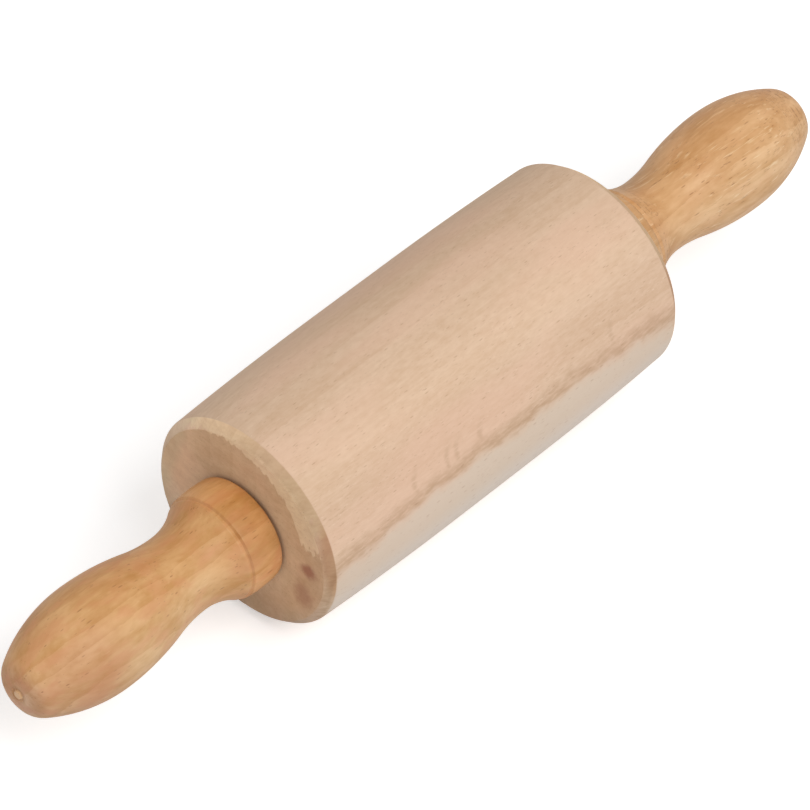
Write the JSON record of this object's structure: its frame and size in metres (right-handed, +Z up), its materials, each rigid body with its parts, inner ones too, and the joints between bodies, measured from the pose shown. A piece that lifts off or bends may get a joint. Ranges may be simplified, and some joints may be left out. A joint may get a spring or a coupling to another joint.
{
  "type": "rolling pin with turning handles",
  "caption": "Small beech rolling pin: a plain barrel roller that turns on a steel rod between turned, lacquered bulb handles.",
  "frame": {"origin": "middle of the roller, on its axis of rotation", "axes": "+X along the pin's axis from the left handle to the right handle, +Z up, +Y level across the pin"},
  "size_m": [0.2266, 0.0492, 0.0492],
  "materials": {
    "raw_beech": "raw, sanded",
    "lacquered_beech": "satin lacquer",
    "rod_steel": "drawn, bright",
    "washer_steel": "stamped, satin",
    "bush_nylon": "moulded, matte"
  },
  "bodies": {
    "grips": {"axle": "rod_steel", "left_handle": "lacquered_beech", "right_handle": "lacquered_beech", "left_washer": "washer_steel", "right_washer": "washer_steel"},
    "roller": {"roller": "raw_beech", "left_bush": "bush_nylon", "right_bush": "bush_nylon"}
  },
  "joints": [
    {"name": "roller_spin", "type": "hinge", "parent": "grips", "child": "roller", "pos_m": [0, 0, 0], "axis": [1, 0, 0], "continuous": true}
  ]
}
